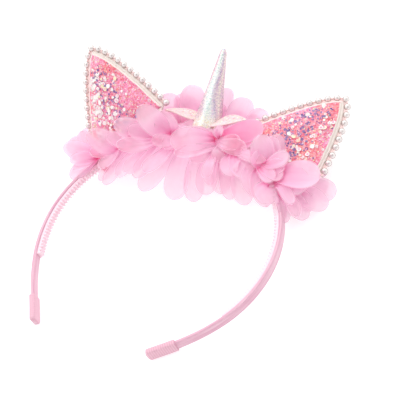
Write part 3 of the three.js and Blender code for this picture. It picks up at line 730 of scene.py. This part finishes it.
def panel(matrix, side, top, bottom, foot_at=None):
    """A closed pillow with the ear's outline: top and bottom give z for a distance inside.
    Gives its points above and below, its faces and its points in the ear's plane."""
    rows, columns = 70, 61
    down = side[0, 1] - side[:, 1]
    u = np.sin(np.linspace(-1, 1, columns) * np.pi / 2)
    foot = np.full(columns, side[-1, 1])
    if foot_at is not None:
        for _ in range(20):
            foot = np.interp(u * np.interp(side[0, 1] - foot, down, side[:, 0]), *foot_at)
    drop = (side[0, 1] - foot) * np.linspace(0, 1, rows)[:, None] ** 1.35
    flat = np.stack([u * np.interp(drop, down, side[:, 0]), side[0, 1] - drop], -1)
    inside = np.sqrt(((flat[:, :, None] - mirrored(side)) ** 2).sum(-1).min(-1))
    inside = np.minimum(inside, (flat[..., 1] - foot) * 0.9)
    inside[:, [0, -1]] = 0
    inside[0] = 0
    above, below = (through(matrix, np.dstack([flat, z(inside)])) for z in (top, bottom))
    return above, below, grid_faces(rows, columns), flat.reshape(-1, 2)


def quarter_round(share):
    return np.sqrt(1 - (1 - np.clip(share, 0, 1)) ** 2)


FACE_EDGE = PEARL_DIAMETER / 2 + FIT_GAP + FACE_INSET
FACE_FLOOR = BACK_FRONT + 0.02


def ear_back(name):
    """Felt backing of the ear, with pink tape along the left margin of its front."""
    matrix = stand(**EARS[name])
    half = BACK_THICKNESS / 2
    middle = BACK_FRONT - half
    side = inset_side(PEARL_DIAMETER / 2 + FIT_GAP)
    toe = np.array([EAR_FOOT_HALF, -BAND_THICKNESS]) - side[-1]
    side = np.concatenate([side, side[-1] + toe * np.linspace(0.05, 1, 20)[:, None]])
    above, below, faces, flat = panel(
        matrix, side,
        lambda inside: middle + half * quarter_round(inside / half),
        lambda inside: middle - half * quarter_round(inside / half),
        foot_line(matrix),
    )
    margin = ear_distance(flat) < FACE_EDGE + 1
    taped = (flat[faces, 0].mean(1) < 0) & margin[faces].all(1)
    b = Build()
    b.add(above, faces[:, ::-1], taped.astype(int))
    b.add(below, faces)
    o = b.piece(f"ear_felt_{name}", [FELT, TAPE], [f"ear_back_{name}"], weld=True)


def face_top(inside):
    rim = FACE_THICKNESS * quarter_round(inside / FACE_RIM)
    return FACE_FLOOR + rim + FACE_PUFF * smooth((inside - 0.3) / 7)


def ear_face(name):
    """Padded face of the ear under the glitter, cream on the right side of its rim."""
    matrix = stand(**EARS[name])
    above, below, faces, flat = panel(
        matrix, inset_side(FACE_EDGE), face_top, lambda inside: FACE_FLOOR + 0 * inside
    )
    inside = ear_distance(flat) - FACE_EDGE
    cream = (inside[faces].mean(1) < FACE_RIM * 0.75) & (flat[faces, 0].mean(1) > 0)
    b = Build()
    b.add(above, faces[:, ::-1], cream.astype(int))
    b.add(below, faces, 1)
    o = b.piece(f"ear_pad_{name}", [GROUND, FELT], [f"ear_face_{name}"], weld=True)


def zone_left(x, y):
    """How white and how violet the glitter is over the left ear's face."""
    side = -x - 0.12 * (EAR_HEIGHT - y)
    white = (0.06 + 0.94 * smooth(side / 16 + 0.5)) * smooth((47 - y) / 6)
    violet = np.exp(-(((x + 2) - 0.22 * (34 - y)) / 5.5) ** 2) * smooth((46 - y) / 6)
    return white, violet


def zone_right(x, y):
    white = (0.08 + 0.2 * smooth((x + 3) / 8)) * smooth((48 - y) / 6)
    violet = np.exp(-((x + 3.5 - 0.1 * (30 - y)) / 8.5) ** 2) * smooth((48 - y) / 8)
    return white, violet


# Seeds and zones of the ears' glitter, and how its layers and its holes rise, in mm
GLITTER = {"left": (11, zone_left), "right": (23, zone_right)}
LAYER_RISE, HOLE_RISE, HOLE_SHARE = 0.09, 0.03, 0.45
DISCS = [
    # layers from the lowest: how many, least and most radius, corners, and weights of white,
    # yellow, violet, coral and pink
    (1900, 0.2, 0.42, 6, (0.14, 0.09, 0.06, 0.34, 0.37)),
    (260, 0.4, 0.85, 9, (0.08, 0.04, 0.72, 0.06, 0.1)),
    (210, 0.6, 1.3, 9, (0.88, 0.1, 0.02, 0.0, 0.0)),
]


def ear_flakes(name):
    """Small discs that lie on the padded face, each tilted a little its own way. Some of the
    larger ones have a smaller pink disc on them, as a hole shows the ground."""
    matrix = stand(**EARS[name])
    seed, zone = GLITTER[name]
    rng = np.random.default_rng(seed)
    low = inset_side(FACE_EDGE)[-1, 1] + 0.5
    b = Build()
    for layer, (count, least, most, corners, weights) in enumerate(DISCS):
        tries = count * 3
        drop = rng.random(tries) ** 0.62 * 1.02
        x = (rng.random(tries) * 2 - 1) * ear_half(drop)
        y = EAR_HEIGHT * (1 - drop)
        inside = ear_distance(np.stack([x, y], 1)) - FACE_EDGE
        radius = least + (most - least) * rng.random(tries) ** (1.6 if layer else 1)
        white, violet = zone(x, y)
        wanted = [1, violet, white][layer]
        keep = (inside > FACE_RIM * 0.8 + radius * 0.5) & (y > low) & (rng.random(tries) < wanted)
        kept = [v[keep][:count] for v in (x, y, inside, radius, white, violet)]
        x, y, inside, radius, white, violet = kept
        shares = np.tile(weights, (len(x), 1))
        shares[:, 0] *= 0.3 + 1.6 * white
        shares[:, 2] *= 0.1 + 2 * violet
        shares = np.cumsum(shares / shares.sum(1, keepdims=True), 1)
        kind = (rng.random((len(x), 1)) > shares).sum(1).clip(0, 4)
        z = face_top(inside) + 0.04 + LAYER_RISE * layer + 0.1 * rng.random(len(x))
        slope = rng.normal(0, 0.17, (len(x), 2))
        turn = rng.random(len(x)) * 6.28
        holed = (rng.random(len(x)) < 0.4) & (layer > 0)
        for k in range(len(x)):
            hole = [(HOLE_SHARE, HOLE_RISE, len(FLAKES))] if holed[k] else []
            for size, rise, slot in [(1, 0, kind[k] + 1), *hole]:
                cx = size * radius[k] * np.cos(circle(corners) + turn[k])
                cy = size * radius[k] * np.sin(circle(corners) + turn[k])
                cz = z[k] + rise + slope[k, 0] * cx + slope[k, 1] * cy
                b.add(through(matrix, np.stack([x[k] + cx, y[k] + cy, cz], 1)), [range(corners)], slot)
    b.piece(f"ear_flakes_{name}", [GROUND, *FLAKES], flat=True)


def ear_line():
    """Points along the line of the pearls, a pitch apart, from the left foot to the right."""
    fine = ear_side(4000)
    at = PEARL_PITCH * np.arange(PEARLS_A_SIDE + 1)
    return mirrored(np.stack([np.interp(at, run_along(fine), side) for side in fine.T], 1))


def pearl_string(name):
    """Pearls round the ear's edge, on a thread and on the tape that holds them."""
    matrix = stand(**EARS[name])
    rings, sides = 14, 22
    tilt, turn = np.meshgrid(np.linspace(0, np.pi, rings), circle(sides), indexing="ij")
    ball = np.stack([np.sin(tilt) * np.cos(turn), np.sin(tilt) * np.sin(turn), np.cos(tilt)], -1)
    ball = (PEARL_DIAMETER / 2 + PEARL_LACQUER) * ball
    line = ear_line()
    b = Build()
    for x, y in line:
        b.add(through(matrix, ball + [x, y, 0]), grid_faces(rings, sides, True)[:, ::-1])
    fine = mirrored(ear_side(120))
    fine = fine[fine[:, 1] > line[0, 1] - 1]
    inward = right_of(unit(np.gradient(fine, axis=0)))
    # Sections of the thread and of the tape: how far inwards, and z
    thread = THREAD_RADIUS * np.stack([np.cos(circle(8)), np.sin(circle(8))], 1)
    tape = [(-0.1, -0.5), (0.6, -0.25), (1.9, -0.3), (1.9, -0.65), (0.6, -0.7), (-0.1, -0.75)]
    for section in (thread, tape):
        step, z = np.array(section).T
        flat = fine[:, None] + step[:, None] * inward[:, None]
        b.tube(through(matrix, np.dstack([flat, np.broadcast_to(z, flat.shape[:2])])), 1)
    b.piece(f"pearl_string_{name}", [PEARL, TAPE], [f"pearls_{name}"], weld=True)


# Horn and leaves
def horn():
    """Padded cone with lengthwise folds and a round tip. h is the share of its height."""
    dome_from, dome = 0.94, 0.06
    h = dome_from + dome * np.sin(np.linspace(0.08, np.pi / 2, 14))
    h = np.concatenate([np.linspace(-0.02, dome_from, 106), h])[:, None]
    a = circle(144)
    tip = np.where(h > dome_from, np.sqrt(np.clip(1 - ((h - dome_from) / dome) ** 2, 0, 1)), 1)
    radius = (HORN_RADIUS + (HORN_TIP_RADIUS - HORN_RADIUS) * h) * tip
    radius = radius * (0.94 + 0.06 * smooth(h / 0.12))
    sway = a + 0.25 * np.sin(2.2 * h + 0.6)
    folds = 0.055 * np.abs(np.sin(2.5 * sway + 0.4)) ** 0.7 + 0.035 * np.cos(7 * sway + 2 * h)
    folds = folds + 0.012 * np.sin(26 * h + 3 * a) * (1 - h)
    r = radius * (1.07 + (folds - 0.02) * np.clip(1.15 - h, 0, 1))
    local = np.stack(np.broadcast_arrays(r * np.cos(a), h * HORN_HEIGHT, r * np.sin(a)), -1)
    # Place of each point in the horn's bands of colour, which carry painted highlight and shade.
    film_and_painted_light = (a / np.pi + 0.06 * np.sin(9 * h)) % 1
    b = Build()
    b.tube(through(stand(**HORN), local), 0, film_and_painted_light, 0, h)
    o = b.piece("horn_padded", [IRIDESCENT], ["horn"])


def spread(rows, columns, bend):
    """Shares of the length and of the half width, closer set at a petal's tip and hems."""
    t = np.sin(np.linspace(0, 1, rows) ** 0.9 * np.pi / 2)[:, None]
    return t, np.sin(np.linspace(-1, 1, columns) * bend) / math.sin(bend)


def rolled(side, up, angle):
    """Both directions across a petal, rolled by degrees about its length."""
    c, s = math.cos(angle * DEG), math.sin(angle * DEG)
    return c * side + s * up, c * up - s * side


def leaf(name):
    """Small glitter leaf at the horn's foot, slightly cupped and waved, with a thin margin."""
    matrix, spec = stand(**HORN), LEAVES[name]
    around = spec["around"] * DEG
    reach = HORN_RADIUS + (HORN_TIP_RADIUS - HORN_RADIUS) * spec["height"] - 0.5
    foot = [reach * math.cos(around), spec["height"] * HORN_HEIGHT, reach * math.sin(around)]
    ahead = unit(matrix[:3, :3] @ np.array(spec["aim"], float))
    up = unit(FACING - (FACING @ ahead) * ahead)
    side, up = rolled(np.cross(ahead, up), up, spec["face"])
    rows, columns = 34, 19
    t, v = spread(rows, columns, 1.35)
    half = (0.45 + 0.55 * np.sin(np.pi * t**0.8)) * np.sqrt(1 - t**3.2)
    across = v * half * LEAF_WIDTH / 2
    lift = 0.06 * LEAF_LENGTH * np.sin(np.pi * t) + 0.8 * v**2 * half + 0.5 * np.sin(5 * t + 2 * v)
    points = through(matrix, np.array(foot)) + t[..., None] * LEAF_LENGTH * ahead
    points = points + across[..., None] * side + 0.9 * lift[..., None] * up
    edge = np.clip(1 - (1 - np.abs(v)) * 4 * half, 0, 1)
    edge = np.maximum(edge, smooth((t - 0.93) / 0.07))
    thick = LEAF_THICKNESS / 2 * np.sqrt(np.clip(1 - edge**3, 0.02, 1))[..., None] * up
    faces = grid_faces(rows, columns)
    n = rows * columns
    grid = np.arange(n).reshape(rows, columns)
    rim = [*grid[0, :-1], *grid[:-1, -1], *grid[-1, :0:-1], *grid[:0:-1, 0]]
    wall = [[i + n, j + n, j, i] for i, j in zip(rim, rim[1:] + rim[:1])]
    shades = np.stack([0.8 * smooth((edge - 0.4) / 0.3), np.full_like(edge, 0.5)])
    b = Build()
    b.add(np.stack([points + thick, points - thick]), [*faces, *(faces[:, ::-1] + n), *wall], 0, shades)
    o = b.piece(f"leaf_glitter_{name}", [FINE_GLITTER], [f"leaf_{name}"], weld=True)


# Petals
TRIM_DEPTH = BAND_WIDTH / 2 + SEAT_GAP + GATHER_RADIUS
PETAL_FILL = 0.76  # share of its length times its width that a petal covers
HANGS_BELOW = -22  # petals with their tip below this y have none under them


def petal_half(t, end):
    """Half width of a petal as a share, for the share of its length that the round end takes."""
    grow = 0.16 + 0.84 * smooth(t / (1 - end)) ** 0.9
    return grow * np.clip(1 - np.clip((t - 1 + end) / end, 0, 1) ** 2.3, 0, 1) ** (1 / 2.2)


def petal(b, row, depth, rng, under=False):
    """One curved petal from its root at the strip over its knee to its tip, or a shorter one
    under it. Gives its area in square metres."""
    arc, width, paleness = float(row[0]), row[7], row[8]
    knee, tip = np.array(row[1:4], float), np.array(row[4:7], float)
    root = place(arc, BAND_THICKNESS / 2 - ROOT_DEPTH, depth)
    roll = rng.uniform(-6, 6)
    if under:
        root = place(arc + rng.uniform(-2.5, 2.5), BAND_THICKNESS / 2 - ROOT_DEPTH + 0.5, depth)
        ahead = tip - knee
        swing = unit(np.cross(ahead, FACING)) * np.linalg.norm(ahead) * rng.uniform(-0.3, 0.3)
        drop = unit(FACING) * rng.uniform(0.8, 2.2)
        tip = knee + ahead * rng.uniform(0.5, 0.75) + swing - drop
        knee = knee + 0.4 * swing - drop
        width = width * rng.uniform(0.9, 1.05)
        roll = rng.uniform(-16, 16)
    rows, columns = 28, 17
    t, v = spread(rows, columns, 1.28)
    centre = (1 - t) ** 2 * root + 2 * t * (1 - t) * knee + t**2 * tip
    ahead = unit(2 * (1 - t) * (knee - root) + 2 * t * (tip - knee) + 1e-6)
    side = unit(np.cross(ahead, FACING))
    side, up = rolled(side, np.cross(side, ahead), roll)
    length = np.linalg.norm(np.diff(centre, axis=0), axis=1).sum()
    wave, phase, pleat = rng.uniform(0.25, 0.7), rng.uniform(0, 6.28), rng.uniform(0, 6.28)
    cup, curl, lean = rng.uniform(0.02, 0.1), rng.uniform(-0.05, 0.08), rng.uniform(-0.5, 0.5)
    half = petal_half(t, float(np.clip(0.62 * width / length, 0.2, 0.42)))
    across = v * half * width / 2
    lift = cup * width * half * v**2 + curl * length * smooth((t - 0.55) / 0.45)
    lift = lift + wave * np.sin(phase + 4.2 * v + 3.0 * t) * np.abs(v) ** 1.5 * smooth(t / 0.5)
    lift = lift + 0.5 * np.cos(pleat + 9 * v) * (1 - t) ** 1.6 * smooth(t / 0.12) + lean * v * half
    points = centre[:, None] + across[..., None] * side[:, None] + lift[..., None] * up[:, None]
    points[..., 2] = np.maximum(points[..., 2], surface_under(points[..., 1]) + 0.25)
    # The mark rises from root to tip; its low values give the deep pink that is partly painted shade.
    inner = 0.7 * paleness * t
    to_edge = np.minimum((1 - np.abs(v)) * half * width / 2, (1 - t) * length)
    hem = np.clip(1 - to_edge / PETAL_HEM, 0, 1) * smooth((t - 0.25) / 0.2)
    shade = inner + (1 - inner) * hem
    threads = v * width / 2 * (0.35 + 0.65 * t) + rng.uniform(0, 400)
    b.add(points, grid_faces(rows, columns), 0, shade, threads, t * length)
    return length * width * MM * MM * PETAL_FILL


def gathered(name, side):
    """Bunched roots of the petals, pleated across the strip."""
    end = TRIM_HALF - 4
    arcs = np.arange(-end, end + 0.01, 0.4)[:, None]
    a = circle(20)
    size = 0.3 + 0.7 * smooth((end - np.abs(arcs)) / 9)
    pleats = 0.1 * np.sin(2.6 * arcs + 1.3 * np.sin(a)) + 0.04 * np.sin(6.1 * arcs + 2 * a)
    size = size * GATHER_RADIUS * (0.86 + pleats)
    points = place(arcs, size * GATHER_BULGE * np.cos(a), side * TRIM_DEPTH + size * np.sin(a))
    points[..., 2] = np.maximum(points[..., 2], surface_under(points[..., 1]))
    b = Build()
    b.tube(points, 0, 0.4, 2.6 * a, arcs)
    o = b.piece(f"petal_roots_{name}", [CHIFFON], [f"petals_{name}"])


def petals(name, rows, side, seed):
    rng = np.random.default_rng(seed)
    depth = side * TRIM_DEPTH
    b = Build()
    area = sum([petal(b, row, depth, rng) for row in rows])
    area += sum([petal(b, row, depth, rng, under=True) for row in rows if row[5] > HANGS_BELOW])
    o = b.piece(f"petals_chiffon_{name}", [CHIFFON], [f"petals_{name}"], weld=True)


wrapped_band()
grip_strip()
for ear_name, ear_sign in (("left", -1), ("right", 1)):
    ribbed_cap(ear_name, ear_sign)
    ear_back(ear_name)
    ear_face(ear_name)
    ear_flakes(ear_name)
    pearl_string(ear_name)
horn()
leaf("left")
leaf("right")
gathered("front", 1)
gathered("back", -1)
petals("front", FRONT_PETALS, 1, 5)
petals("back", BACK_PETALS, -1, 8)

# Floor, light and camera. The camera's place is in mm and its turn in degrees, in the band's frame.
FLOOR_HALF = 3.0
SENSOR, FRAME_PX, FOCAL_PX = 36, 400, 1201.55
CAMERA_PLACE = np.array([307.66, -243.59, 430.73])
CAMERA_YAW, CAMERA_TILT, CAMERA_ROLL = 54.616, 40.28, -30.948
LAMP_PLACE, LAMP_AIM, LAMP_SIZE, LAMP_POWER = (-0.5, 0.45, 1.0), (0, -0.03, 0.01), 1.2, 3.8
SKY_STRENGTH = 1.36


def floor():
    r = FLOOR_HALF
    mesh = bpy.data.meshes.new("floor")
    mesh.from_pydata([(-r, -r, 0), (r, -r, 0), (r, r, 0), (-r, r, 0)], [], [(0, 1, 2, 3)])
    look = Look("floor", (0.6, 0.6, 0.6), 0.9, Emission_Color=(1, 1, 1, 1), Emission_Strength=0.55)
    look.color(look.ramp(look.noise(0.01, 2), [(0.3, (0.59, 0.59, 0.6)), (0.7, (0.61, 0.61, 0.61))]))
    mesh.materials.append(look.material)
    o = bpy.data.objects.new("floor", mesh)
    bpy.context.scene.collection.objects.link(o)


def camera():
    data = bpy.data.cameras.new("camera")
    data.sensor_width = SENSOR
    data.lens = FOCAL_PX * SENSOR / FRAME_PX
    data.clip_start, data.clip_end = 0.01, 20
    o = bpy.data.objects.new("camera", data)
    turn = turned(2, CAMERA_YAW) @ turned(0, CAMERA_TILT) @ turned(2, CAMERA_ROLL)
    world = LAID @ moved(*CAMERA_PLACE) @ turn
    world[:3, 3] *= MM
    o.matrix_world = Matrix(world.tolist())
    bpy.context.scene.collection.objects.link(o)
    bpy.context.scene.camera = o


def lamp():
    data = bpy.data.lights.new("key", "AREA")
    data.size, data.energy = LAMP_SIZE, LAMP_POWER
    o = bpy.data.objects.new("key", data)
    o.location = LAMP_PLACE
    o.rotation_mode = "QUATERNION"
    o.rotation_quaternion = (Vector(LAMP_AIM) - Vector(LAMP_PLACE)).to_track_quat("-Z", "Y")
    bpy.context.scene.collection.objects.link(o)


def sky():
    """White all round, brighter from the upper left, with one dark patch that stays where the
    photograph's camera stood."""
    world = bpy.data.worlds.new("world")
    world.use_nodes = True
    nodes, links = world.node_tree.nodes, world.node_tree.links
    direction = nodes.new("ShaderNodeTexCoord").outputs["Generated"]

    def level_toward(aim, stops):
        dot = nodes.new("ShaderNodeVectorMath")
        dot.operation = "DOT_PRODUCT"
        dot.inputs[1].default_value = aim.tolist()
        links.new(direction, dot.inputs[0])
        half = nodes.new("ShaderNodeMath")
        half.operation = "MULTIPLY_ADD"
        half.inputs[1].default_value = half.inputs[2].default_value = 0.5
        links.new(dot.outputs["Value"], half.inputs[0])
        ramp = nodes.new("ShaderNodeValToRGB")
        for e, (at, level) in zip(ramp.color_ramp.elements, stops):
            e.position, e.color = at, (level, level, level, 1)
        links.new(half.outputs[0], ramp.inputs["Fac"])
        return ramp.outputs["Color"]

    bright = level_toward(unit(np.array([-0.5, 0.45, 0.75])), [(0.1, 0.6), (0.85, 1.0)])
    dark = level_toward(LAID[:3, :3] @ unit(CAMERA_PLACE), [(0.95, 1.0), (0.97, 0.05)])
    product = nodes.new("ShaderNodeMix")
    product.data_type, product.blend_type = "RGBA", "MULTIPLY"
    product.inputs[0].default_value = 1
    links.new(bright, product.inputs[6])
    links.new(dark, product.inputs[7])
    links.new(product.outputs[2], nodes["Background"].inputs["Color"])
    nodes["Background"].inputs["Strength"].default_value = SKY_STRENGTH
    bpy.context.scene.world = world


floor()
camera()
lamp()
sky()
bpy.context.scene.view_settings.view_transform = "Standard"
